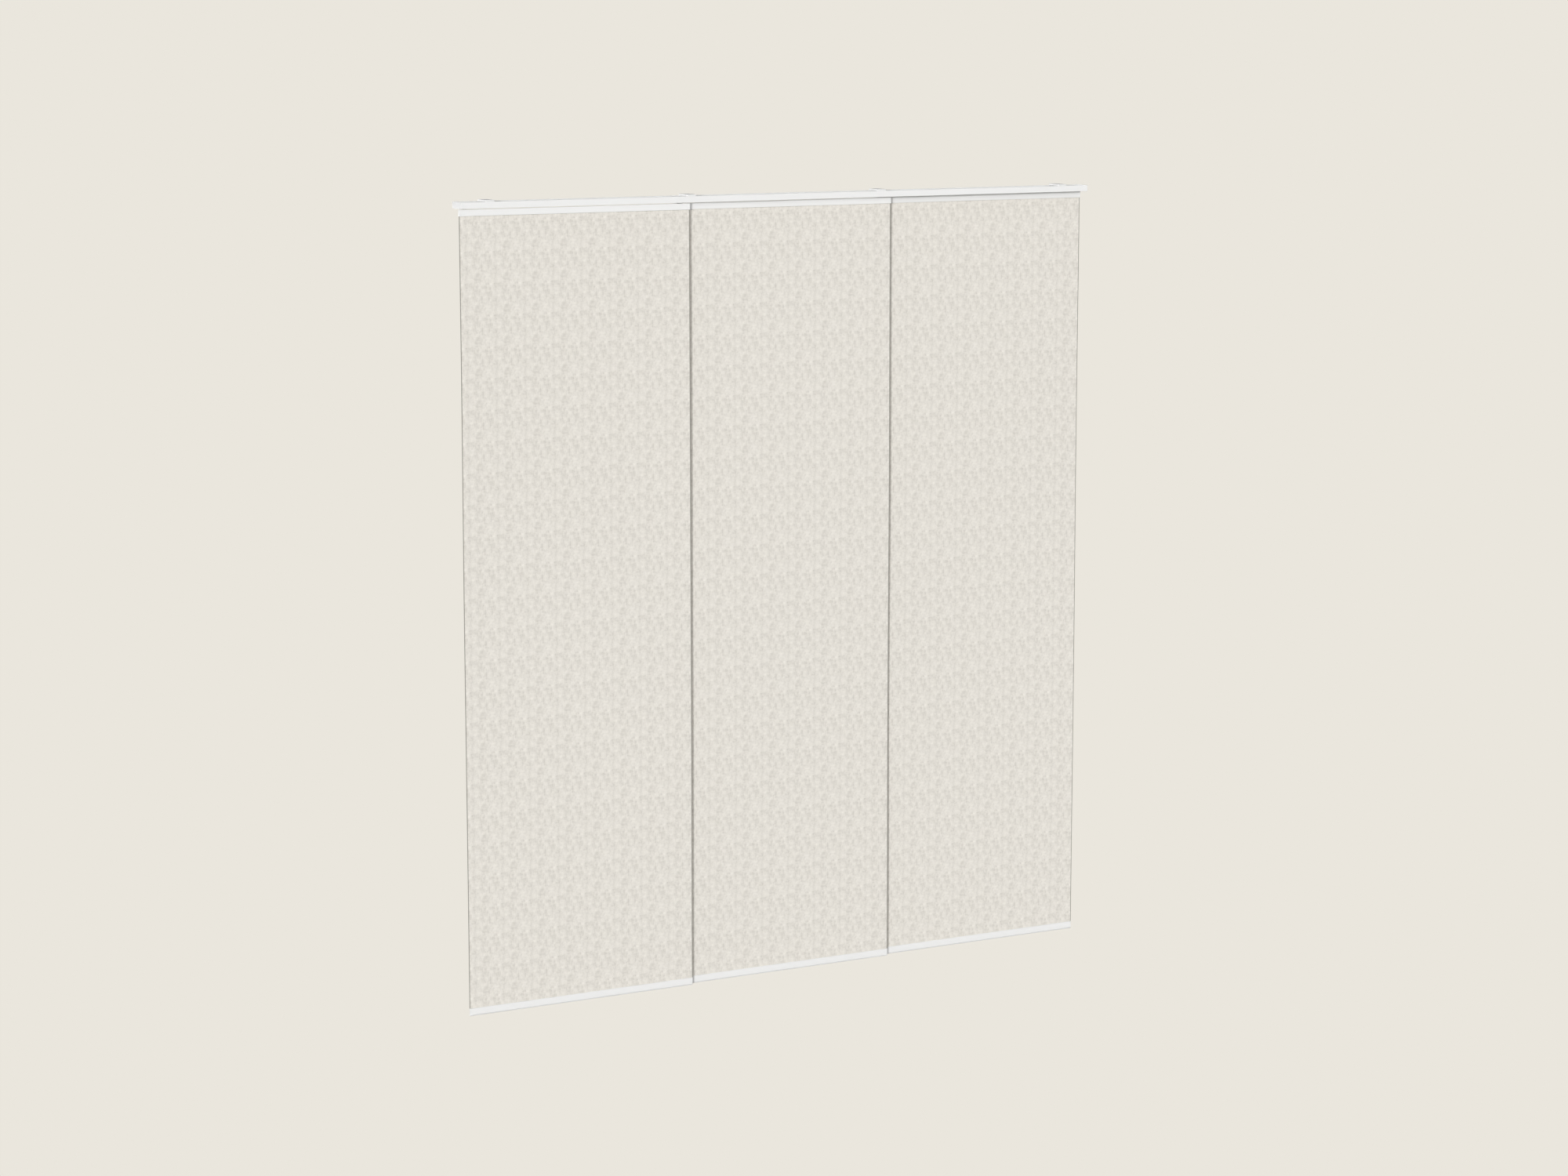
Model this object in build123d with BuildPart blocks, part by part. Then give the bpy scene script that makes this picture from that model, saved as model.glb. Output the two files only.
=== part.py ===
from build123d import *
from math import sqrt
import os

# Panel track curtain: three fabric panels, each hung from its own carrier, run side by side
# in the three channels of one ceiling track. All sizes are in millimetres. X runs along the
# track, Y runs from the room towards the window and Z is up. The origin lies on the ceiling,
# over the middle of the track's length and depth.

# One panel hangs in each channel, from the left end of the track to the right
places = ("front", "middle", "back")

# Head track: one aluminium extrusion, closed at both ends by moulded caps
track_length = 1829.0
track_height = 16.3
channel_pitch = 14.14
track_rim = 2.44
track_wall = 1.4
track_web = 1.2
track_ledge = 1.5
track_roof = 1.2
track_lip = 1.2
lip_reach = 6.0
trough_height = 2.2
track_edge = 0.4
slot_width = 3.4

# End caps of the track, with a peg in each channel that stops the panels
end_cap_plate = 1.5
peg_length = 6.0
peg_clearance = 0.3
stop_gap = 0.2

# Ceiling clips: the plate is screwed up into the ceiling, and its hooks hold the track's lips
clip_count = 4
clip_inset = 80.0
clip_width = 24.4
clip_rise = 4.0
clip_plate = 1.6
clip_rim = 1.6
clip_corner = 0.8
clip_clearance = 0.2
hook_width = 16.0
hook_leg = 1.4
hook_reach = 2.0
hook_nose = 0.6
hook_depth = 1.5
screw_hole = 4.5
pad_length = 12.0
pad_height = 1.6

# Panels: the carrier and the fabric are as wide as each other
panel_width = 635.0
fabric_drop = 1994.0
fabric_thickness = 0.6
hem_clearance = 0.1
hem_lip = 1.2
mouth_clearance = 0.5
hem_setback = 0.3
hem_step = 0.3

# Carriers: aluminium extrusions with a slot for the trucks above and for the hem below
carrier_gap = 2.15
carrier_height = 16.1
carrier_thickness = 7.0
carrier_wall = 1.0
carrier_web = 1.0
carrier_lip = 1.2
carrier_cap_plate = 1.5
carrier_edge = 0.4

# Bottom bars: aluminium extrusions with a bevelled nose along the lower edge
bar_height = 19.6
bar_thickness = 5.0
bar_wall = 0.9
bar_web = 1.0
bar_bevel = 3.2
bar_nose = 1.6
bar_edge = 0.3
bar_inset = 1.4
bar_cap_plate = 1.5

# Pegs that hold the caps of carriers and bars in the hollow of the extrusion
plug_length = 6.0
plug_clearance = 0.1

# Trucks: a moulded frame between two wheels, with a foot that holds the carrier
truck_length = 16.0
truck_crown = 4.4
truck_lift = 0.7
truck_corner = 1.2
bumper_length = 3.2
slot_clearance = 0.4
stem_length = 11.0
foot_length = 13.0
foot_height = 1.8
foot_clearance = 0.2

# Wheels and axles: both wheels are pressed on a steel pin that turns in the truck
wheel_diameter = 8.0
wheel_gap = 0.5
axle_diameter = 1.6
axle_clearance = 0.05
axle_proud = 0.4
channel_clearance = 1.2

# Levels of the track, from the ceiling down
channels = len(places)
slot_rows = [channel_pitch * (row - (channels - 1) / 2) for row in range(channels)]
web_rows = [channel_pitch * (row - channels / 2) for row in range(1, channels)]
track_depth = channels * channel_pitch + 2 * track_rim
track_inside = track_depth - 2 * track_wall
track_top = -clip_rise
track_bottom = track_top - track_height
lip_under = track_top - track_lip
lip_opening = track_depth - 2 * lip_reach
channel_top = lip_under - trough_height - track_roof
ledge_top = track_bottom + track_ledge
channel_height = channel_top - ledge_top
channel_half = (channel_pitch - track_web) / 2

# Levels of a panel, from the carrier down
carrier_top = track_bottom - carrier_gap
carrier_bottom = carrier_top - carrier_height
carrier_lip_under = carrier_top - carrier_lip
carrier_inside = carrier_thickness - 2 * carrier_wall
foot_chamber = foot_height + 2 * foot_clearance
bar_top = carrier_bottom - fabric_drop
bar_bottom = bar_top - bar_height
bar_inside = bar_thickness - 2 * bar_wall
panel_step = (track_length - panel_width) / (channels - 1)

# The hem is a tube of fabric round a spline. It lies in a round chamber and hangs on the two
# corners of the chamber's mouth, so the spline's size and the hem's place follow from those.
mouth_half = fabric_thickness / 2 + mouth_clearance
carrier_chamber = carrier_inside / 2
carrier_chamber_z = carrier_bottom + hem_lip + carrier_chamber
top_hem = carrier_chamber - hem_clearance
top_sag = sqrt(carrier_chamber**2 - mouth_half**2) - sqrt(top_hem**2 - mouth_half**2)
top_hem_z = carrier_chamber_z - top_sag
bar_chamber = bar_inside / 2
bar_chamber_z = bar_top - hem_lip - bar_chamber
bottom_hem = bar_chamber - hem_clearance
bottom_sag = sqrt(bar_chamber**2 - mouth_half**2) - sqrt(bottom_hem**2 - mouth_half**2)
bottom_hem_z = bar_chamber_z + bottom_sag

# The single sheet between a hem and the full width of the fabric, through the mouth
top_neck_z = top_hem_z - top_hem + fabric_thickness / 2
top_neck = top_neck_z - carrier_bottom + hem_step
bottom_neck_z = bar_top + hem_step
bottom_neck = bottom_neck_z - bottom_hem_z - bottom_hem + fabric_thickness / 2

# Hollows of the two extrusions that the cap pegs fill
carrier_hollow_top = carrier_lip_under - foot_chamber - carrier_web
carrier_hollow_bottom = carrier_chamber_z + carrier_chamber + carrier_web
bar_hollow_top = bar_chamber_z - bar_chamber - bar_web
bar_hollow_bottom = bar_bottom + bar_bevel

# Truck, wheel and axle places, measured from the slot's centre line and the panel's ends
truck_inset = end_cap_plate + peg_length + stop_gap + truck_length / 2
truck_thickness = slot_width - 2 * slot_clearance
truck_bottom = ledge_top + truck_lift
stem_top = truck_bottom + truck_corner
carrier_mouth = truck_thickness + 2 * foot_clearance
axle_z = ledge_top + wheel_diameter / 2
axle_reach = channel_half - channel_clearance
wheel_near = truck_thickness / 2 + wheel_gap
wheel_far = axle_reach - axle_proud

TOP = (Align.CENTER, Align.MAX)
BASE = (Align.CENTER, Align.MIN)


def across(x, y=0.0):
    """The upright plane that cuts the track at x, facing +X, with its own x along Y."""
    return Plane(origin=(x, y, 0), x_dir=(0, 1, 0), z_dir=(1, 0, 0))


def beside(x, y, z=0.0):
    """The upright plane along the track at y, facing the room, with its own x along X."""
    return Plane(origin=(x, y, z), x_dir=(1, 0, 0), z_dir=(0, -1, 0))


os.makedirs("parts", exist_ok=True)

# Outlines that an extrusion and its end caps share, and the outline of a truck seen from the room
with BuildSketch() as track_outline:
    with Locations((0, track_top)):
        Rectangle(track_depth, track_height, align=TOP)
    chamfer(track_outline.vertices(), track_edge)

with BuildSketch() as carrier_outline:
    with Locations((0, carrier_top)):
        Rectangle(carrier_thickness, carrier_height, align=TOP)
    chamfer(carrier_outline.vertices(), carrier_edge)

with BuildSketch() as bar_outline:
    with BuildLine():
        Polyline(
            (-bar_thickness / 2, bar_top),
            (bar_thickness / 2, bar_top),
            (bar_thickness / 2, bar_bottom + bar_bevel),
            (bar_nose / 2, bar_bottom),
            (-bar_nose / 2, bar_bottom),
            (-bar_thickness / 2, bar_bottom + bar_bevel),
            close=True,
        )
    make_face()
    chamfer(bar_outline.vertices().group_by(Axis.Y)[-1], bar_edge)

with BuildSketch() as truck_outline:
    with Locations((0, truck_bottom)):
        Rectangle(truck_length, axle_z + truck_crown - truck_bottom, align=BASE)
    chamfer(truck_outline.vertices(), truck_corner)

# Head track: a trough for the clips over three channels, each open along the bottom by a slot
with BuildPart() as head_track:
    with BuildSketch(across(end_cap_plate - track_length / 2)):
        add(track_outline.sketch)
        with Locations((0, track_top)):
            Rectangle(lip_opening, track_lip, align=TOP, mode=Mode.SUBTRACT)
        with Locations((0, lip_under)):
            Rectangle(track_inside, trough_height, align=TOP, mode=Mode.SUBTRACT)
        with Locations((0, channel_top)):
            Rectangle(track_inside, channel_height, align=TOP, mode=Mode.SUBTRACT)
        with Locations(*[(row, channel_top) for row in web_rows]):
            Rectangle(track_web, channel_height, align=TOP)
        with Locations(*[(row, ledge_top) for row in slot_rows]):
            Rectangle(slot_width, track_ledge, align=TOP, mode=Mode.SUBTRACT)
    extrude(amount=track_length - 2 * end_cap_plate)
head_track.part.label = "head_track"
export_step(head_track.part, "parts/head_track.step")

# End caps: a plate flush with the track, and a stop peg in each channel
for end, side in (("left", -1), ("right", 1)):
    plate_inner = side * (track_length / 2 - end_cap_plate)
    with BuildPart() as end_cap:
        with BuildSketch(across(plate_inner)):
            add(track_outline.sketch)
        extrude(amount=end_cap_plate, dir=(side, 0, 0))
        with BuildSketch(across(plate_inner)):
            with Locations(*[(row, channel_top - peg_clearance) for row in slot_rows]):
                Rectangle(
                    2 * (channel_half - peg_clearance),
                    channel_height - 2 * peg_clearance,
                    align=TOP,
                )
        extrude(amount=peg_length, dir=(-side, 0, 0))
    end_cap.part.label = f"end_cap_{end}"
    export_step(end_cap.part, f"parts/end_cap_{end}.step")

# Ceiling clips: a plate with a rim all round that stands on the track's lips, two hooks that
# reach under the lips, and one screw hole through a thicker pad that seats the screw's head
clip_spacing = (track_length - 2 * clip_inset) / (clip_count - 1)
leg_outer = lip_opening / 2 - clip_clearance
hook_bottom = lip_under - hook_depth
for number in range(clip_count):
    clip_x = clip_inset - track_length / 2 + number * clip_spacing
    with BuildPart() as clip:
        with BuildSketch(Plane.XY):
            with Locations((clip_x, 0)):
                plate_outline = Rectangle(clip_width, track_depth)
            chamfer(plate_outline.vertices(), clip_corner)
        extrude(amount=-clip_rise)
        with BuildSketch(Plane.XY.offset(-clip_plate)):
            with Locations((clip_x, 0)):
                Rectangle(clip_width - 2 * clip_rim, track_depth - 2 * clip_rim)
        extrude(amount=clip_plate - clip_rise, mode=Mode.SUBTRACT)
        with BuildSketch(across(clip_x)):
            with BuildLine():
                Polyline(
                    (leg_outer, -clip_plate),
                    (leg_outer, lip_under),
                    (leg_outer + hook_reach, lip_under),
                    (leg_outer + hook_reach, lip_under - hook_nose),
                    (leg_outer, hook_bottom),
                    (leg_outer - hook_leg, hook_bottom),
                    (leg_outer - hook_leg, -clip_plate),
                    close=True,
                )
            make_face()
            mirror(about=Plane.YZ)
        extrude(amount=hook_width / 2, both=True)
        with BuildSketch(Plane.XY.offset(-clip_plate)):
            with Locations((clip_x, 0)):
                Rectangle(pad_length, pad_length)
        extrude(amount=-pad_height)
        with BuildSketch(Plane.XY):
            with Locations((clip_x, 0)):
                Circle(screw_hole / 2)
        extrude(amount=-clip_plate - pad_height, mode=Mode.SUBTRACT)
    clip.part.label = f"ceiling_clip_{number + 1}"
    export_step(clip.part, f"parts/ceiling_clip_{number + 1}.step")

# The three panels are alike. Each one lies a step further along the track and one channel back.
for number, place in enumerate(places):
    slot_y = slot_rows[number]
    panel_left = number * panel_step - track_length / 2
    panel_right = panel_left + panel_width
    panel_x = (panel_left + panel_right) / 2

    # Carrier: truck slot on top, a hollow in the middle, and the hem's chamber with its mouth
    carrier_length = panel_width - 2 * carrier_cap_plate
    with BuildPart() as carrier:
        with BuildSketch(across(panel_left + carrier_cap_plate, slot_y)):
            add(carrier_outline.sketch)
            with Locations((0, carrier_top)):
                Rectangle(carrier_mouth, carrier_lip, align=TOP, mode=Mode.SUBTRACT)
            with Locations((0, carrier_lip_under)):
                Rectangle(carrier_inside, foot_chamber, align=TOP, mode=Mode.SUBTRACT)
            with Locations((0, carrier_hollow_top)):
                Rectangle(
                    carrier_inside,
                    carrier_hollow_top - carrier_hollow_bottom,
                    align=TOP,
                    mode=Mode.SUBTRACT,
                )
            with Locations((0, carrier_chamber_z)):
                Circle(carrier_chamber, mode=Mode.SUBTRACT)
                Rectangle(2 * mouth_half, carrier_chamber + hem_lip, align=TOP, mode=Mode.SUBTRACT)
        extrude(amount=carrier_length)
    carrier.part.label = f"{place}_carrier"
    export_step(carrier.part, f"parts/{place}_carrier.step")

    # Fabric: one sheet with a hem tube at the top and bottom, narrower where the caps are
    hem_length = carrier_length - 2 * hem_setback
    bar_length = panel_width - 2 * bar_inset - 2 * bar_cap_plate
    bottom_hem_length = bar_length - 2 * hem_setback
    with BuildPart() as fabric:
        with BuildSketch(across(panel_x, slot_y)):
            with Locations((0, top_hem_z)):
                Circle(top_hem)
            with Locations((0, top_neck_z)):
                Rectangle(fabric_thickness, top_neck, align=TOP)
            with Locations((0, top_hem_z)):
                Circle(top_hem - fabric_thickness, mode=Mode.SUBTRACT)
        extrude(amount=hem_length / 2, both=True)
        with BuildSketch(across(panel_x, slot_y)):
            with Locations((0, bottom_hem_z)):
                Circle(bottom_hem)
            with Locations((0, bottom_neck_z)):
                Rectangle(fabric_thickness, bottom_neck, align=TOP)
            with Locations((0, bottom_hem_z)):
                Circle(bottom_hem - fabric_thickness, mode=Mode.SUBTRACT)
        extrude(amount=bottom_hem_length / 2, both=True)
        with BuildSketch(across(panel_x, slot_y)):
            with Locations((0, carrier_bottom - hem_step)):
                Rectangle(fabric_thickness, fabric_drop - 2 * hem_step, align=TOP)
        extrude(amount=panel_width / 2, both=True)
    fabric.part.label = f"{place}_fabric"
    export_step(fabric.part, f"parts/{place}_fabric.step")

    # Splines: round rods that fill the two hem tubes
    with BuildPart() as top_spline:
        with BuildSketch(across(panel_x, slot_y)):
            with Locations((0, top_hem_z)):
                Circle(top_hem - fabric_thickness)
        extrude(amount=hem_length / 2, both=True)
    top_spline.part.label = f"{place}_top_spline"
    export_step(top_spline.part, f"parts/{place}_top_spline.step")

    with BuildPart() as bottom_spline:
        with BuildSketch(across(panel_x, slot_y)):
            with Locations((0, bottom_hem_z)):
                Circle(bottom_hem - fabric_thickness)
        extrude(amount=bottom_hem_length / 2, both=True)
    bottom_spline.part.label = f"{place}_bottom_spline"
    export_step(bottom_spline.part, f"parts/{place}_bottom_spline.step")

    # Bottom bar: the hem's chamber and mouth on top, a hollow below it and a solid nose
    with BuildPart() as bottom_bar:
        with BuildSketch(across(panel_x, slot_y)):
            add(bar_outline.sketch)
            with Locations((0, bar_top)):
                Rectangle(2 * mouth_half, hem_lip + bar_chamber, align=TOP, mode=Mode.SUBTRACT)
            with Locations((0, bar_chamber_z)):
                Circle(bar_chamber, mode=Mode.SUBTRACT)
            with Locations((0, bar_hollow_top)):
                Rectangle(
                    bar_inside,
                    bar_hollow_top - bar_hollow_bottom,
                    align=TOP,
                    mode=Mode.SUBTRACT,
                )
        extrude(amount=bar_length / 2, both=True)
    bottom_bar.part.label = f"{place}_bottom_bar"
    export_step(bottom_bar.part, f"parts/{place}_bottom_bar.step")

    for end, side in (("left", -1), ("right", 1)):
        # Carrier cap: a plate with the carrier's outline and a peg in its hollow
        carrier_end = panel_x + side * carrier_length / 2
        with BuildPart() as carrier_cap:
            with BuildSketch(across(carrier_end, slot_y)):
                add(carrier_outline.sketch)
            extrude(amount=carrier_cap_plate, dir=(side, 0, 0))
            with BuildSketch(across(carrier_end, slot_y)):
                with Locations((0, carrier_hollow_top - plug_clearance)):
                    Rectangle(
                        carrier_inside - 2 * plug_clearance,
                        carrier_hollow_top - carrier_hollow_bottom - 2 * plug_clearance,
                        align=TOP,
                    )
            extrude(amount=plug_length, dir=(-side, 0, 0))
        carrier_cap.part.label = f"{place}_carrier_cap_{end}"
        export_step(carrier_cap.part, f"parts/{place}_carrier_cap_{end}.step")

        # Bar cap: a plate with the bar's outline and a peg in its hollow
        bar_end = panel_x + side * bar_length / 2
        with BuildPart() as bar_cap:
            with BuildSketch(across(bar_end, slot_y)):
                add(bar_outline.sketch)
            extrude(amount=bar_cap_plate, dir=(side, 0, 0))
            with BuildSketch(across(bar_end, slot_y)):
                with Locations((0, bar_hollow_top - plug_clearance)):
                    Rectangle(
                        bar_inside - 2 * plug_clearance,
                        bar_hollow_top - bar_hollow_bottom - 2 * plug_clearance,
                        align=TOP,
                    )
            extrude(amount=plug_length, dir=(-side, 0, 0))
        bar_cap.part.label = f"{place}_bar_cap_{end}"
        export_step(bar_cap.part, f"parts/{place}_bar_cap_{end}.step")

        # Truck: a thin frame between the wheels with a bumper at each end. Its stem passes
        # down through the slot, and the foot holds the carrier by the lips of its own slot.
        truck_x = panel_x + side * (panel_width / 2 - truck_inset)
        with BuildPart() as truck:
            with BuildSketch(beside(truck_x, slot_y)):
                add(truck_outline.sketch)
            extrude(amount=truck_thickness / 2, both=True)
            with BuildSketch(beside(truck_x, slot_y)):
                add(truck_outline.sketch)
                with Locations((0, truck_bottom)):
                    Rectangle(
                        truck_length - 2 * bumper_length,
                        channel_height,
                        align=BASE,
                        mode=Mode.SUBTRACT,
                    )
            extrude(amount=wheel_far, both=True)
            with BuildSketch(beside(truck_x, slot_y)):
                with Locations((0, stem_top)):
                    Rectangle(stem_length, stem_top - carrier_lip_under, align=TOP)
            extrude(amount=truck_thickness / 2, both=True)
            with BuildSketch(beside(truck_x, slot_y)):
                with Locations((0, carrier_lip_under)):
                    Rectangle(foot_length, foot_height, align=TOP)
            extrude(amount=carrier_inside / 2 - foot_clearance, both=True)
            with BuildSketch(beside(truck_x, slot_y, axle_z)):
                Circle(axle_diameter / 2 + axle_clearance)
            extrude(amount=truck_thickness, both=True, mode=Mode.SUBTRACT)
        truck.part.label = f"{place}_truck_{end}"
        export_step(truck.part, f"parts/{place}_truck_{end}.step")

        # Axle: a plain steel pin that turns in the truck and stands a little out of the wheels
        with BuildPart() as axle:
            with BuildSketch(beside(truck_x, slot_y, axle_z)):
                Circle(axle_diameter / 2)
            extrude(amount=axle_reach, both=True)
        axle.part.label = f"{place}_axle_{end}"
        export_step(axle.part, f"parts/{place}_axle_{end}.step")

        # Wheels: one each side of the truck, both pressed on the axle
        with BuildPart() as wheels:
            for face in (-1, 1):
                with BuildSketch(beside(truck_x, slot_y + face * wheel_near, axle_z)):
                    Circle(wheel_diameter / 2)
                    Circle(axle_diameter / 2, mode=Mode.SUBTRACT)
                extrude(amount=wheel_far - wheel_near, dir=(0, face, 0))
        wheels.part.label = f"{place}_wheels_{end}"
        export_step(wheels.part, f"parts/{place}_wheels_{end}.step")
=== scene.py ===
from math import pi, radians

import bpy
import numpy as np
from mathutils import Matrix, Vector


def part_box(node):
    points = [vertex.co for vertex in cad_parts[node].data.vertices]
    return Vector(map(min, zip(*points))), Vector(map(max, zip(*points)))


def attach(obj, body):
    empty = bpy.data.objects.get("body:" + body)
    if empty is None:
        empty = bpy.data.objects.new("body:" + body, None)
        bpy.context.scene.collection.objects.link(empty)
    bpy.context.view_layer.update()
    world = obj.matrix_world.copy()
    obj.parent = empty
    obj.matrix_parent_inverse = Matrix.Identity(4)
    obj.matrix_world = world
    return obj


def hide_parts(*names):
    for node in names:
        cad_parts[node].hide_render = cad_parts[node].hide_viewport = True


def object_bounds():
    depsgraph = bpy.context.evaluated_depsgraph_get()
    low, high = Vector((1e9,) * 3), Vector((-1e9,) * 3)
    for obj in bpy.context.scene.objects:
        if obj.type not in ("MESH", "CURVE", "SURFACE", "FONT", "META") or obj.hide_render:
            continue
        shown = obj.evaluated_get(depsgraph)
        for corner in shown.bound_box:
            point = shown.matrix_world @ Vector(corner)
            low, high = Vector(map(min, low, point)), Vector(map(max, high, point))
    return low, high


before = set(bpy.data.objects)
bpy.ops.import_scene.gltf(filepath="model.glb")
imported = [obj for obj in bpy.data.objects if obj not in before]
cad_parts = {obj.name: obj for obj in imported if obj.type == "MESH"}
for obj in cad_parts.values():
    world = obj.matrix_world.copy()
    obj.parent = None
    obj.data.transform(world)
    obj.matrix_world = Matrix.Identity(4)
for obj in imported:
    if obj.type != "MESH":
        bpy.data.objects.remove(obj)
cad_low, cad_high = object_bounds()

# Camera: an eye in the room, to the left of the curtain and just above the track, that looks
# down a little. Its place and lens are fitted to the long edges of the track and the bars.
eye = (-4.62156, -8.36693, 0.47418)
look_down = radians(81.066)
look_right = radians(-28.918)
lens_mm = 85.29
film_mm = 36.0
camera = bpy.data.cameras.new("camera")
camera.lens = lens_mm
camera.sensor_width = film_mm
camera_object = bpy.data.objects.new("camera", camera)
camera_object.location = eye
camera_object.rotation_euler = (look_down, 0.0, look_right)
bpy.context.scene.collection.objects.link(camera_object)
bpy.context.scene.camera = camera_object
bpy.context.scene.view_settings.view_transform = "Standard"


# Room: a pale plain floor a hand's breadth under the bars, the same colour as the air above it,
# and soft neutral light all round, weak from above, as under a ceiling, and weak from beyond the
# curtain. What the camera sees in the air and the floor isn't what they give out.
floor_gap = 0.10
floor_reach = 400.0
air_seen = (0.8228, 0.7913, 0.7230, 1.0)
level_light = (1.32, 1.32, 1.325, 1.0)
beyond_light = (0.40, 0.40, 0.402, 1.0)
beyond_way = (0.4836, 0.8753, 0.0)
beyond_from, beyond_full = 0.45, 0.80
zenith_light = (0.22, 0.22, 0.222, 1.0)
zenith_from, zenith_full = 0.1, 0.6
floor_light = (0.15, 0.148, 0.143, 1.0)


def socket_set(tree, socket, value):
    """Gives a socket a plain value, or joins it to another node's output."""
    if isinstance(value, bpy.types.NodeSocket):
        tree.links.new(value, socket)
    else:
        socket.default_value = value


def add_node(tree, kind, *inputs, **named):
    """Adds a node and fills its inputs, first in their order and then by name."""
    node = tree.nodes.new(kind)
    for socket, value in zip(node.inputs, inputs):
        socket_set(tree, socket, value)
    for name, value in named.items():
        socket_set(tree, node.inputs[name.replace("_", " ")], value)
    return node


def colour_mix(tree, share, plain, changed):
    """The plain colour where share is 0, the changed one where it is 1."""
    mix = tree.nodes.new("ShaderNodeMix")
    mix.data_type = "RGBA"
    for index, value in ((0, share), (6, plain), (7, changed)):
        socket_set(tree, mix.inputs[index], value)
    return mix.outputs[2]


def fade(tree, value, start, stop, at_start=0.0, at_stop=1.0):
    """Goes evenly from at_start to at_stop while value goes from start to stop, then stays."""
    return add_node(tree, "ShaderNodeMapRange", value, start, stop, at_start, at_stop).outputs[0]


def agreement(tree, way, other):
    """How far two directions agree: 1 where they are the same, 0 at a right angle."""
    both = add_node(tree, "ShaderNodeVectorMath", way, other)
    both.operation = "DOT_PRODUCT"
    return both.outputs["Value"]


def glow(tree, kind, seen, given):
    """A shader that gives one colour to the eye and another to whatever it lights."""
    path = tree.nodes.new("ShaderNodeLightPath")
    colour = colour_mix(tree, path.outputs["Is Camera Ray"], given, seen)
    return add_node(tree, kind, Color=colour, Strength=1.0).outputs[0]


def bare_material(name):
    """A new material and its node tree, still empty."""
    material = bpy.data.materials.new(name)
    material.use_nodes = True
    material.node_tree.nodes.clear()
    return material, material.node_tree


world = bpy.data.worlds.new("studio_air")
world.use_nodes = True
sky = world.node_tree
sky.nodes.clear()
sky_way = add_node(sky, "ShaderNodeTexCoord").outputs["Generated"]
sky_height = add_node(sky, "ShaderNodeSeparateXYZ", sky_way).outputs["Z"]
overhead = fade(sky, sky_height, zenith_from, zenith_full)
beyond = fade(sky, agreement(sky, sky_way, beyond_way), beyond_from, beyond_full)
round_light = colour_mix(sky, beyond, level_light, beyond_light)
air_light = colour_mix(sky, overhead, round_light, zenith_light)
air = glow(sky, "ShaderNodeBackground", air_seen, air_light)
add_node(sky, "ShaderNodeOutputWorld", Surface=air)
bpy.context.scene.world = world

floor_z = cad_low.z - floor_gap
corner_ways = ((-1, -1), (1, -1), (1, 1), (-1, 1))
corners = [(x * floor_reach, y * floor_reach, floor_z) for x, y in corner_ways]
floor_mesh = bpy.data.meshes.new("floor")
floor_mesh.from_pydata(corners, [], [(0, 1, 2, 3)])
floor_paint, floor_tree = bare_material("pale_floor")
floor_glow = glow(floor_tree, "ShaderNodeEmission", air_seen, floor_light)
add_node(floor_tree, "ShaderNodeOutputMaterial", Surface=floor_glow)
floor_mesh.materials.append(floor_paint)
floor = bpy.data.objects.new("floor", floor_mesh)
bpy.context.scene.collection.objects.link(floor)

# Lamps: a large soft one from the left, which gives the panels' edges their shadows, a wider,
# weaker one from the right of the camera, and another wide one from the window's side.
for name, azimuth, height, width, strength in (
    ("key_lamp", -42.0, 6.0, 8.0, 1.85),
    ("fill_lamp", 5.0, 8.0, 50.0, 0.45),
    ("back_lamp", -172.0, 4.0, 50.0, 2.30),
):
    lamp = bpy.data.lights.new(name, "SUN")
    lamp.energy = strength
    lamp.angle = radians(width)
    lamp_object = bpy.data.objects.new(name, lamp)
    lamp_object.rotation_euler = (radians(90.0 - height), 0.0, radians(azimuth))
    bpy.context.scene.collection.objects.link(lamp_object)


# Head track: one aluminium extrusion with three channels, coated white before it is cut to
# length. The coating has a fine orange-peel skin, faint lines along the draw, and a little dust;
# the grey on its faces that look up is dust and also painted shade, as under a ceiling.
grain_roughness = 0.55
drawn_weight, fine_weight = 0.55, 0.45
colour_swing, roughness_swing = 0.9, 0.10
skin_relief = 0.6
turn_from, turn_full = 0.98, 0.80
rubbed_gain, rubbed_most = 1.04, 0.5
lying_from, lying_full = 0.4, 0.95
patch_rate = 70.0
patch_from, patch_full, patch_thinnest = 0.3, 0.75, 0.35
# The grey that faces looking up take on, as dust and as painted shade from above
dust_and_shade_colour = (0.56, 0.55, 0.53, 1.0)
dust_matting = 0.5


def new_group(name, inputs, outputs):
    """An empty node group with these named sockets, each a pair of name and kind."""
    group = bpy.data.node_groups.new(name, "ShaderNodeTree")
    for direction, sockets in (("INPUT", inputs), ("OUTPUT", outputs)):
        for label, kind in sockets:
            group.interface.new_socket(label, in_out=direction, socket_type="NodeSocket" + kind)
    return group, group.nodes.new("NodeGroupInput"), group.nodes.new("NodeGroupOutput")


def arithmetic(tree, operation, *terms):
    """One step of arithmetic on values that change over the surface."""
    step = tree.nodes.new("ShaderNodeMath")
    step.operation = operation
    for socket, term in zip(step.inputs, terms):
        socket_set(tree, socket, term)
    return step.outputs[0]


def weighted_sum(tree, *terms):
    """The sum of values that change over the surface, each times its own weight."""
    total = 0.0
    for value, weight in terms:
        total = arithmetic(tree, "MULTIPLY_ADD", value, weight, total)
    return total


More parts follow.
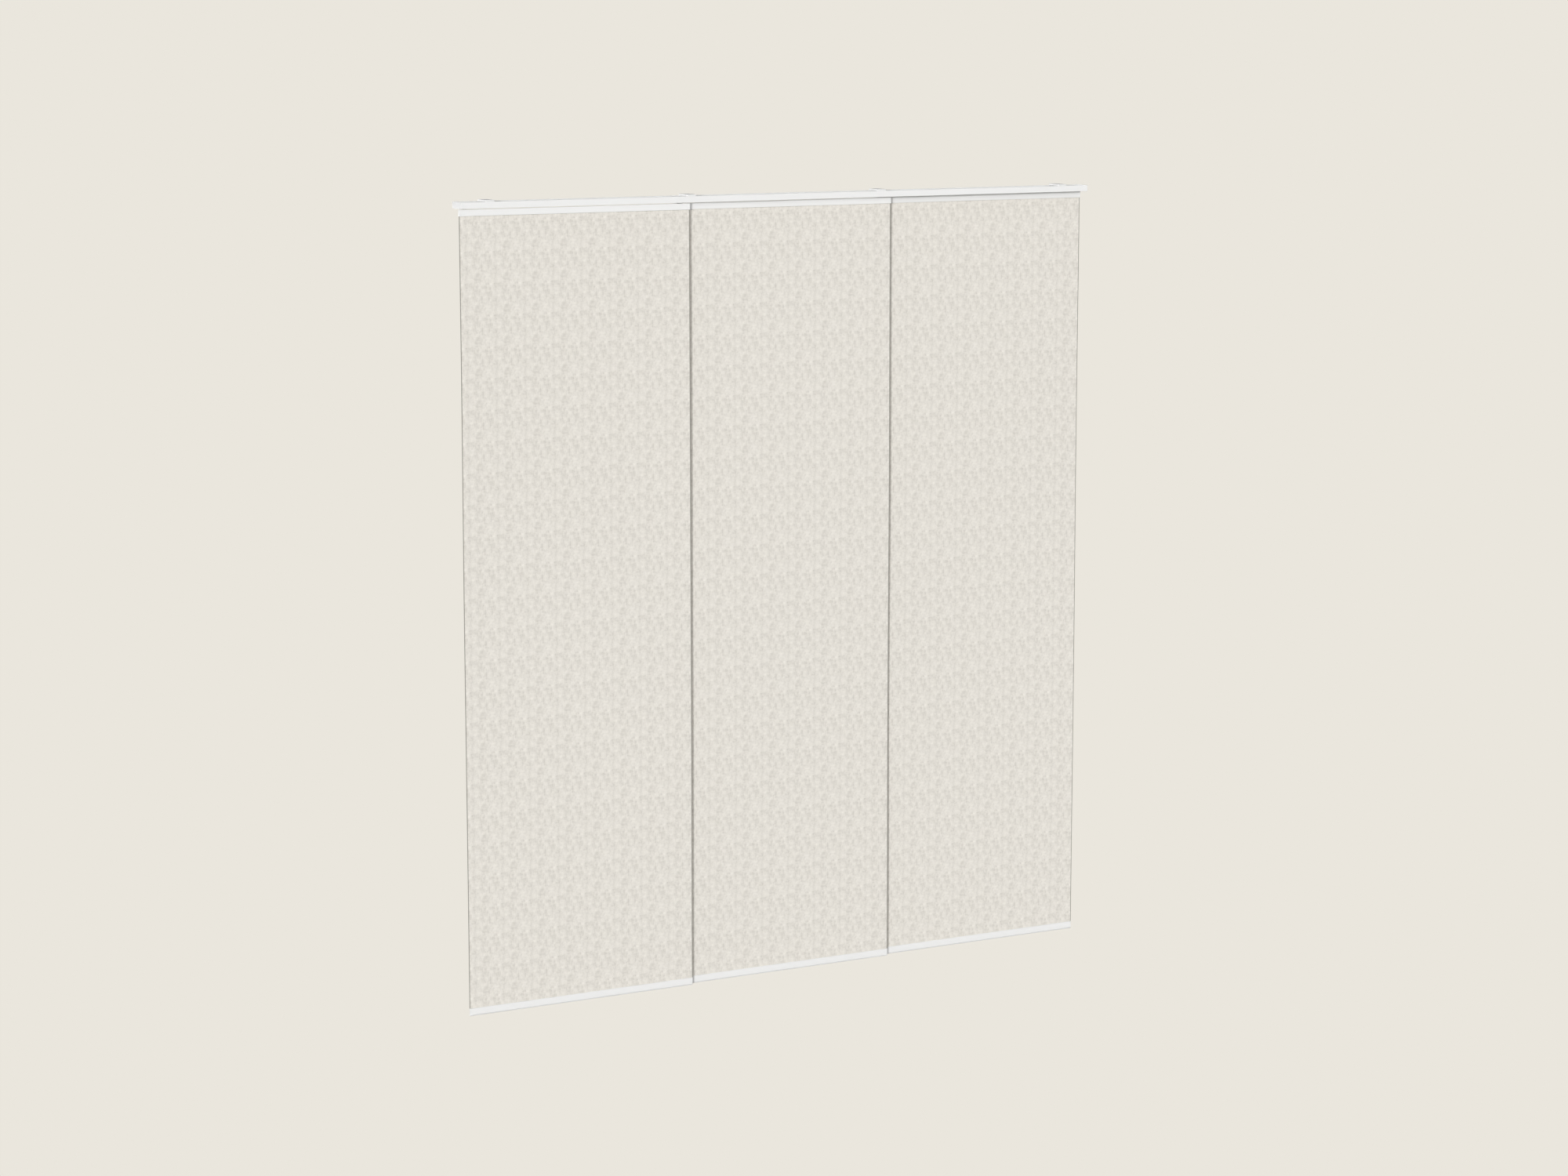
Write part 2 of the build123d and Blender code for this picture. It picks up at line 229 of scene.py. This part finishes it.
# Grain: soft noise with its own spacing along each axis, from -1 to 1 around nothing
grain, grain_in, grain_out = new_group(
    "grain",
    [("Place", "Vector"), ("Per Metre", "Vector"), ("Detail", "Float")],
    [("Value", "Float")],
)
spread = add_node(
    grain, "ShaderNodeMapping",
    Vector=grain_in.outputs["Place"], Scale=grain_in.outputs["Per Metre"],
)
noise = add_node(
    grain, "ShaderNodeTexNoise", Vector=spread.outputs[0], Scale=1.0,
    Detail=grain_in.outputs["Detail"], Roughness=grain_roughness,
)
centred = arithmetic(grain, "MULTIPLY_ADD", noise.outputs[0], 2.0, -1.0)
grain.links.new(centred, grain_out.inputs["Value"])

# Edges: the normal of an edge rounded by a small radius, and a mask of where the rounding is
edges, edges_in, edges_out = new_group(
    "edges", [("Radius", "Float")], [("Normal", "Vector"), ("Mask", "Float")]
)
rounded = add_node(edges, "ShaderNodeBevel", Radius=edges_in.outputs["Radius"])
rounded.samples = 4
flat_normal = add_node(edges, "ShaderNodeNewGeometry").outputs["True Normal"]
turned = fade(edges, agreement(edges, rounded.outputs[0], flat_normal), turn_from, turn_full)
edges.links.new(rounded.outputs[0], edges_out.inputs["Normal"])
edges.links.new(turned, edges_out.inputs["Mask"])

# Dust and painted shade from above: faces that look up go grey in soft patches
dust_and_shade, dust_and_shade_in, dust_and_shade_out = new_group("dust_and_shade", [("Place", "Vector")], [("Mask", "Float")])
facing = add_node(dust_and_shade, "ShaderNodeNewGeometry").outputs["Normal"]
facing_up = add_node(dust_and_shade, "ShaderNodeSeparateXYZ", facing).outputs["Z"]
lying = fade(dust_and_shade, facing_up, lying_from, lying_full)
patches = add_node(
    dust_and_shade, "ShaderNodeTexNoise", Vector=dust_and_shade_in.outputs["Place"], Scale=patch_rate, Detail=4.0
)
thick = fade(dust_and_shade, patches.outputs[0], patch_from, patch_full, patch_thinnest)
dust_and_shade.links.new(arithmetic(dust_and_shade, "MULTIPLY", lying, thick), dust_and_shade_out.inputs["Mask"])


def grouped(tree, group, **inputs):
    """One use of a group in a material, with its own values."""
    use = tree.nodes.new("ShaderNodeGroup")
    use.node_tree = group
    for name, value in inputs.items():
        socket_set(tree, use.inputs[name.replace("_", " ")], value)
    return use


def hard_finish(
    name, tone, shade, roughness, skin, skin_depth, lines, edge, metallic=0.0, dust_and_top_shade=0.35
):
    """A hard finish from its own values. The colour goes from tone to shade with the skin's grain
    and the draw lines, is paler where an edge is rubbed and greyer on faces that look up, as dust
    and as painted shade from above. The same grain moves the roughness and, over skin_depth, the
    height of the surface. skin and lines say how many grains there are to the metre along each
    axis, edge is the radius of the edges."""
    material, tree = bare_material(name)
    place = add_node(tree, "ShaderNodeTexCoord").outputs["Object"]
    fine = grouped(tree, grain, Place=place, Per_Metre=skin, Detail=2.0).outputs[0]
    drawn = grouped(tree, grain, Place=place, Per_Metre=lines, Detail=3.0).outputs[0]
    edge_use = grouped(tree, edges, Radius=edge)
    dust_and_shade_use = grouped(tree, dust_and_shade, Place=place)
    both = weighted_sum(tree, (fine, fine_weight), (drawn, drawn_weight))
    share = arithmetic(tree, "MULTIPLY_ADD", both, colour_swing, 0.5)
    skin_colour = colour_mix(tree, share, tone, shade)
    rubbed = tuple(min(1.0, rubbed_gain * part) for part in tone[:3]) + (1.0,)
    rubbed_share = arithmetic(tree, "MULTIPLY", edge_use.outputs["Mask"], rubbed_most)
    edge_colour = colour_mix(tree, rubbed_share, skin_colour, rubbed)
    # Faces that look up are greyed, as dust and as painted shade from above
    dust_and_shade_share = arithmetic(tree, "MULTIPLY", dust_and_shade_use.outputs["Mask"], dust_and_top_shade)
    colour = colour_mix(tree, dust_and_shade_share, edge_colour, dust_and_shade_colour)
    worn = arithmetic(tree, "MULTIPLY_ADD", both, roughness_swing, roughness)
    matt = arithmetic(tree, "MULTIPLY_ADD", dust_and_shade_use.outputs["Mask"], dust_matting * dust_and_top_shade, worn)
    relief = add_node(
        tree, "ShaderNodeBump", Strength=skin_relief, Distance=skin_depth, Height=fine,
        Normal=edge_use.outputs["Normal"],
    )
    skin_shader = add_node(
        tree, "ShaderNodeBsdfPrincipled", Base_Color=colour, Roughness=matt, Metallic=metallic,
        IOR=1.5, Normal=relief.outputs[0], Specular_IOR_Level=0.5,
    )
    add_node(tree, "ShaderNodeOutputMaterial", Surface=skin_shader.outputs[0])
    return material


def dress(material, *names):
    """Gives these nodes one material in place of their plain one."""
    for name in names:
        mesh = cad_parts[name].data
        mesh.materials.clear()
        mesh.materials.append(material)


white_coat = hard_finish(
    "white_powder_coat",
    tone=(0.920, 0.920, 0.908, 1.0),
    shade=(0.890, 0.890, 0.876, 1.0),
    roughness=0.38,
    skin=(900.0, 900.0, 900.0),
    skin_depth=0.00006,
    lines=(1.6, 420.0, 420.0),
    edge=0.0004,
)
dress(white_coat, "head_track")

# End caps: satin white mouldings pushed into the ends of the track until they lie flush with it.
# They are a shade cooler than the coating, with the fine sparkle of a spark-cut mould.
cap_moulding = hard_finish(
    "white_cap_moulding",
    tone=(0.910, 0.912, 0.904, 1.0),
    shade=(0.886, 0.888, 0.880, 1.0),
    roughness=0.46,
    skin=(1600.0, 1600.0, 1600.0),
    skin_depth=0.00004,
    lines=(60.0, 60.0, 60.0),
    edge=0.0003,
)
dress(cap_moulding, "end_cap_left", "end_cap_right")

# Ceiling clips: matt white mouldings, screwed to the ceiling, whose hooks hold the track by the
# lips along its open top.
clip_moulding = hard_finish(
    "white_clip_moulding",
    tone=(0.880, 0.880, 0.870, 1.0),
    shade=(0.850, 0.850, 0.838, 1.0),
    roughness=0.58,
    skin=(1300.0, 1300.0, 1300.0),
    skin_depth=0.00006,
    lines=(45.0, 45.0, 45.0),
    edge=0.0003,
    dust_and_top_shade=0.25,
)
dress(clip_moulding, *[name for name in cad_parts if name.startswith("ceiling_clip")])

# Carriers: white coated aluminium extrusions, one under each channel, closed by moulded caps.
# Each holds the hem of a panel and hangs from two trucks.
places = ("front", "middle", "back")
for place in places:
    dress(white_coat, f"{place}_carrier")
    dress(cap_moulding, f"{place}_carrier_cap_left", f"{place}_carrier_cap_right")

# Trucks: frames moulded from natural nylon, a warm milky white, slippery and slightly matt,
# that run in the channels between their wheels.
nylon = hard_finish(
    "natural_nylon",
    tone=(0.780, 0.765, 0.710, 1.0),
    shade=(0.740, 0.725, 0.665, 1.0),
    roughness=0.42,
    skin=(700.0, 700.0, 700.0),
    skin_depth=0.00005,
    lines=(180.0, 180.0, 180.0),
    edge=0.0002,
    dust_and_top_shade=0.2,
)

# Wheels: turned from white acetal, smoother than the trucks, with the faint rings of turning,
# and pressed on a drawn steel pin.
acetal = hard_finish(
    "white_acetal",
    tone=(0.830, 0.830, 0.815, 1.0),
    shade=(0.790, 0.790, 0.775, 1.0),
    roughness=0.26,
    skin=(400.0, 3200.0, 400.0),
    skin_depth=0.00002,
    lines=(240.0, 2600.0, 240.0),
    edge=0.0002,
    dust_and_top_shade=0.1,
)
pin_steel = hard_finish(
    "drawn_steel",
    tone=(0.620, 0.615, 0.600, 1.0),
    shade=(0.520, 0.515, 0.500, 1.0),
    roughness=0.28,
    skin=(2400.0, 260.0, 2400.0),
    skin_depth=0.00001,
    lines=(3000.0, 200.0, 3000.0),
    edge=0.0001,
    metallic=1.0,
    dust_and_top_shade=0.0,
)
for place in places:
    for end in ("left", "right"):
        dress(nylon, f"{place}_truck_{end}")
        dress(acetal, f"{place}_wheels_{end}")
        dress(pin_steel, f"{place}_axle_{end}")

# Splines: round rods drawn from grey-white plastic, slid into the hems at the top and the bottom
# of the cloth, which keep the hems from pulling out of the carrier and the bar.
rod = hard_finish(
    "drawn_rod",
    tone=(0.720, 0.720, 0.700, 1.0),
    shade=(0.670, 0.670, 0.648, 1.0),
    roughness=0.5,
    skin=(300.0, 1500.0, 1500.0),
    skin_depth=0.00003,
    lines=(4.0, 1800.0, 1800.0),
    edge=0.0001,
    dust_and_top_shade=0.0,
)
for place in places:
    dress(rod, f"{place}_top_spline", f"{place}_bottom_spline")

# Cloth: one flat panel in each channel, of a stiffened linen-look weave whose slubs come back
# after each repeat of the pattern. The panels are cut one after another from the same roll, their
# side edges cut hot, which seals them, and a hem round a spline closes each end.
cloth_columns, drop_rows, loop_rows = 64, 200, 20
cut_angle, leave_angle = radians(-72.0), radians(215.0)
bend_pull = 1.1
cloth_wave = 0.0011
wave_middle, wave_edge = 0.55, 0.45
wave_end_power = 0.7
wave_shift = 2.1
# Each wave's rate down the drop and across it, its way from panel to panel, and its share
waves = ((5.3, 1.9, 1.0, 1.0), (9.7, -3.1, -1.0, 0.6))
sharpest_bend = radians(50.0)
cloth_repeat = 0.0783
repeats_per_panel = 31
thread_pitch = 0.0009
# Painted shade in the hollows of the weave: its share where the weave is lowest, and the height
# where it ends
hollow_shade_share, hollow_shade_end = 0.10, 0.9
slub_height, slub_matting = 0.25, 0.06
cloth_matt = 0.86
relief_strength, relief_depth = 0.35, 0.00012
sealed_edge = 0.0024
seal_share, seal_blend = 0.85, 0.6
dark_thread = (0.656, 0.623, 0.563, 1.0)
pale_thread = (0.952, 0.918, 0.852, 1.0)
# Painted shade that darkens the hollows between the threads
hollow_shade_colour = (0.55, 0.53, 0.48, 1.0)
sealed_colour = (0.22, 0.21, 0.185, 1.0)


def hem_path(centre_z, radius, hem_up, leave_z):
    """The middle line of a hem, as y and z. It starts at the cut edge beside the neck, goes round
    the spline's centre at one radius, and then bends into the neck by a cubic curve that leaves
    the circle and enters the neck along their own directions. hem_up is 1 at the top, -1 below."""
    angle = np.linspace(cut_angle, leave_angle, loop_rows)
    ring = np.stack([radius * np.cos(angle), radius * np.sin(angle)], axis=1)
    start, start_way = ring[-1], np.array([-np.sin(leave_angle), np.cos(leave_angle)])
    stop, stop_way = np.array([0.0, (leave_z - centre_z) * hem_up]), np.array([0.0, -1.0])
    pull = np.linalg.norm(stop - start) * bend_pull
    t = np.linspace(0.0, 1.0, loop_rows)[1:, None]
    bend = (
        (2 * t**3 - 3 * t**2 + 1) * start
        + (t**3 - 2 * t**2 + t) * pull * start_way
        + (3 * t**2 - 2 * t**3) * stop
        + (t**3 - t**2) * pull * stop_way
    )
    return np.concatenate([ring, bend]) * [1.0, hem_up] + [0.0, centre_z]


def cloth_panel(place, number):
    """One sheet carried along its own middle line: round the top spline, down the drop, round the
    bottom spline. At each row the sheet is as wide as what holds it lets it be, and it lies half
    its thickness to each side of the line. On the drop the line bows by two long sine waves that
    die out at both ends and grow towards the side edges."""
    low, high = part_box(f"{place}_fabric")
    rod_low, rod_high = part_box(f"{place}_top_spline")
    foot_low, foot_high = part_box(f"{place}_bottom_spline")
    mouth_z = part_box(f"{place}_carrier")[0].z
    bar_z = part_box(f"{place}_bottom_bar")[1].z
    rod_radius = (rod_high.z - rod_low.z) / 2
    foot_radius = (foot_high.z - foot_low.z) / 2
    thickness = (high.y - low.y) / 2 - rod_radius
    slot_y = (rod_high.y + rod_low.y) / 2
    top_z = (rod_high.z + rod_low.z) / 2
    foot_z = (foot_high.z + foot_low.z) / 2
    step = thickness / 2

    top = hem_path(top_z, rod_radius + thickness / 2, 1.0, mouth_z + step)
    bottom = hem_path(foot_z, foot_radius + thickness / 2, -1.0, bar_z - step)[::-1]
    even_z = np.linspace(mouth_z - 2 * step, bar_z + 2 * step, drop_rows)
    drop_z = np.concatenate([[mouth_z - step], even_z, [bar_z + step]])
    drop = np.stack([np.zeros(len(drop_z)), drop_z], axis=1)
    line = np.concatenate([top, drop, bottom])
    half = np.concatenate([
        np.full(len(top), (rod_high.x - rod_low.x) / 2),
        np.full(len(drop), (high.x - low.x) / 2),
        np.full(len(bottom), (foot_high.x - foot_low.x) / 2),
    ])
    along = np.concatenate([[0.0], np.cumsum(np.linalg.norm(np.diff(line, axis=0), axis=1))])

    way = np.gradient(line, along, axis=0)
    way /= np.linalg.norm(way, axis=1)[:, None]
    side = np.linspace(-1.0, 1.0, cloth_columns + 1)
    hang = np.clip((mouth_z - line[:, 1]) / (mouth_z - bar_z), 0.0, 1.0)
    free = np.sin(pi * hang)[:, None] ** wave_end_power
    turn = wave_shift * number
    bow = sum(
        share * np.sin(down * hang[:, None] + across * side + shift * turn)
        for down, across, shift, share in waves
    )
    bow = cloth_wave * free * bow * (wave_middle + wave_edge * side**2)
    x = (low.x + high.x) / 2 + half[:, None] * side
    y = slot_y + line[:, :1] + bow
    z = np.broadcast_to(line[:, 1:], x.shape)
    middle = np.stack([x, y, z], axis=2)
    square_y = np.broadcast_to(way[:, 1:], x.shape)
    square_z = np.broadcast_to(-way[:, :1], x.shape)
    square = np.stack([np.zeros_like(x), square_y, square_z], axis=2)
    faces_out = middle + square * thickness / 2
    faces_back = middle - square * thickness / 2
    points = np.concatenate([faces_out.reshape(-1, 3), faces_back.reshape(-1, 3)])

    rows, columns = x.shape
    index = np.arange(rows * columns).reshape(rows, columns)
    back = index + rows * columns

    def strip(a, b):
        """Quads between two lines of points, in the order a, b, next b, next a."""
        return np.stack([a[:-1], b[:-1], b[1:], a[1:]], axis=-1).reshape(-1, 4)

    def sheet_side(grid):
        """Quads between the points of a grid, each in the order here, below, below right, right."""
        corners = [grid[:-1, :-1], grid[1:, :-1], grid[1:, 1:], grid[:-1, 1:]]
        return np.stack(corners, axis=-1).reshape(-1, 4)

    rims = [
        strip(index[:, 0], back[:, 0]),
        strip(index[:, -1], back[:, -1])[:, ::-1],
        strip(index[0], back[0])[:, ::-1],
        strip(index[-1], back[-1]),
    ]
    quads = np.concatenate([sheet_side(index), sheet_side(back)[:, [0, 3, 2, 1]]] + rims)
    mesh = bpy.data.meshes.new(f"{place}_cloth")
    mesh.from_pydata(points.tolist(), [], quads.tolist())
    u = np.broadcast_to(half[:, None] * side, x.shape).ravel()
    roll_place = repeats_per_panel * cloth_repeat * number
    v = np.broadcast_to(along[:, None] + roll_place, x.shape).ravel()
    thread = np.tile(np.stack([u, v], axis=1), (2, 1))
    uv = mesh.uv_layers.new(name="thread")
    uv.data.foreach_set("uv", thread[quads.ravel()].astype(np.float32).ravel())
    mesh.validate()
    mesh.shade_smooth()
    mesh.set_sharp_from_angle(angle=sharpest_bend)
    cloth = bpy.data.objects.new(f"{place}_cloth", mesh)
    bpy.context.scene.collection.objects.link(cloth)
    return cloth, 2 * half.max(), along[-1]


# Weave: warp and weft threads that pass over and under each other, the height of a plain weave
weave, weave_in, weave_out = new_group(
    "weave", [("Place", "Vector"), ("Pitch", "Float")], [("Height", "Float")]
)
thread_place = add_node(weave, "ShaderNodeSeparateXYZ", weave_in.outputs["Place"])
turns = arithmetic(weave, "DIVIDE", pi, weave_in.outputs["Pitch"])
warp, weft = (
    arithmetic(weave, "SINE", arithmetic(weave, "MULTIPLY", thread_place.outputs[axis], turns))
    for axis in ("X", "Y")
)
over = arithmetic(weave, "MULTIPLY", warp, weft)
warp_swell, weft_swell = (arithmetic(weave, "ABSOLUTE", swell) for swell in (warp, weft))
ridge = arithmetic(weave, "MAXIMUM", warp_swell, weft_swell)
weave.links.new(arithmetic(weave, "MULTIPLY_ADD", over, 0.5, ridge), weave_out.inputs["Height"])

# Repeat: grain that comes back after one repeat of the weave in both directions. Each direction
# is wound round a circle whose girth is the repeat, and the noise is read in four dimensions.
repeat, repeat_in, repeat_out = new_group(
    "repeat", [("Place", "Vector"), ("Per Metre", "Vector")], [("Value", "Float")]
)
repeat_place = add_node(repeat, "ShaderNodeSeparateXYZ", repeat_in.outputs["Place"])
repeat_rate = add_node(repeat, "ShaderNodeSeparateXYZ", repeat_in.outputs["Per Metre"])
wound = []
for axis in ("X", "Y"):
    turned_by = arithmetic(repeat, "MULTIPLY", repeat_place.outputs[axis], 2 * pi / cloth_repeat)
    radius = arithmetic(repeat, "MULTIPLY", repeat_rate.outputs[axis], cloth_repeat / (2 * pi))
    for part in ("COSINE", "SINE"):
        wound.append(arithmetic(repeat, "MULTIPLY", arithmetic(repeat, part, turned_by), radius))
wound_place = add_node(repeat, "ShaderNodeCombineXYZ", *wound[:3]).outputs[0]
wound_noise = repeat.nodes.new("ShaderNodeTexNoise")
wound_noise.noise_dimensions = "4D"
wound_values = {
    "Vector": wound_place, "W": wound[3], "Scale": 1.0, "Detail": 2.0, "Roughness": grain_roughness
}
for label, value in wound_values.items():
    socket_set(repeat, wound_noise.inputs[label], value)
wound_value = arithmetic(repeat, "MULTIPLY_ADD", wound_noise.outputs[0], 2.0, -1.0)
repeat.links.new(wound_value, repeat_out.inputs["Value"])

linen, tree = bare_material("slub_linen")
place_on_cloth = add_node(tree, "ShaderNodeUVMap")
place_on_cloth.uv_map = "thread"
thread_uv = place_on_cloth.outputs[0]


def woven_grain(per_metre_x, per_metre_y):
    """Repeating grain on the cloth, so many to the metre across it and down it."""
    per_metre = (per_metre_x, per_metre_y, 0.0)
    return grouped(tree, repeat, Place=thread_uv, Per_Metre=per_metre).outputs[0]


cloud = woven_grain(40.0, 36.0)
spots = woven_grain(105.0, 82.0)
warp_slubs = woven_grain(330.0, 105.0)
weft_slubs = woven_grain(90.0, 330.0)
uneven = grouped(
    tree, grain, Place=thread_uv, Per_Metre=(150.0, 130.0, 1.0), Detail=2.0
).outputs[0]
weave_height = grouped(tree, weave, Place=thread_uv, Pitch=thread_pitch).outputs[0]
slubs = weighted_sum(tree, (weft_slubs, 0.8), (warp_slubs, 0.85))
mottle = weighted_sum(tree, (spots, 1.2), (cloud, 0.45), (slubs, 1.0), (uneven, 0.45))

# Knots: the dark end of the mottle reaches further than the pale one
mottle_reach = 1.42
knot_depth = 0.40
darker = arithmetic(tree, "MINIMUM", mottle, 0.0)
knotted = arithmetic(tree, "MULTIPLY_ADD", darker, knot_depth, mottle)
paleness = fade(tree, knotted, -mottle_reach, mottle_reach)
thread_colour = colour_mix(tree, paleness, dark_thread, pale_thread)
# Painted shade: the hollows where the threads dip are darkened towards the hollow colour
hollow_shade = fade(tree, weave_height, 0.0, hollow_shade_end, hollow_shade_share, 0.0)
woven = colour_mix(tree, hollow_shade, thread_colour, hollow_shade_colour)

# Sealed edges: the melted strip along each side of the panel, which goes over into the weave
fabric_low, fabric_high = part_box("front_fabric")
panel_half = (fabric_high.x - fabric_low.x) / 2
across_cloth = add_node(tree, "ShaderNodeSeparateXYZ", thread_uv).outputs["X"]
off_centre = arithmetic(tree, "ABSOLUTE", across_cloth)
seal_from, seal_full = panel_half - sealed_edge, panel_half - seal_blend * sealed_edge
sealed = fade(tree, off_centre, seal_from, seal_full, 0.0, seal_share)
cloth_colour = colour_mix(tree, sealed, woven, sealed_colour)

cloth_height = arithmetic(tree, "MULTIPLY_ADD", slubs, slub_height, weave_height)
cloth_relief = add_node(
    tree, "ShaderNodeBump", Strength=relief_strength, Distance=relief_depth, Height=cloth_height
)
cloth_roughness = arithmetic(tree, "MULTIPLY_ADD", slubs, slub_matting, cloth_matt)
linen_shader = add_node(
    tree, "ShaderNodeBsdfPrincipled", Base_Color=cloth_colour, Roughness=cloth_roughness,
    Normal=cloth_relief.outputs[0], Specular_IOR_Level=0.2, Sheen_Weight=0.15, Sheen_Roughness=0.5,
)
add_node(tree, "ShaderNodeOutputMaterial", Surface=linen_shader.outputs[0])

for number, place in enumerate(places):
    cloth, width, length = cloth_panel(place, number)
    cloth.data.materials.append(linen)
    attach(cloth, f"{place}_panel")
    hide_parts(f"{place}_fabric")

# Bottom bars: white coated aluminium extrusions on the lower hem, with a bevelled nose and a
# moulded cap at each end. Their weight keeps the cloth flat.
for place in places:
    dress(white_coat, f"{place}_bottom_bar")
    dress(cap_moulding, f"{place}_bar_cap_left", f"{place}_bar_cap_right")
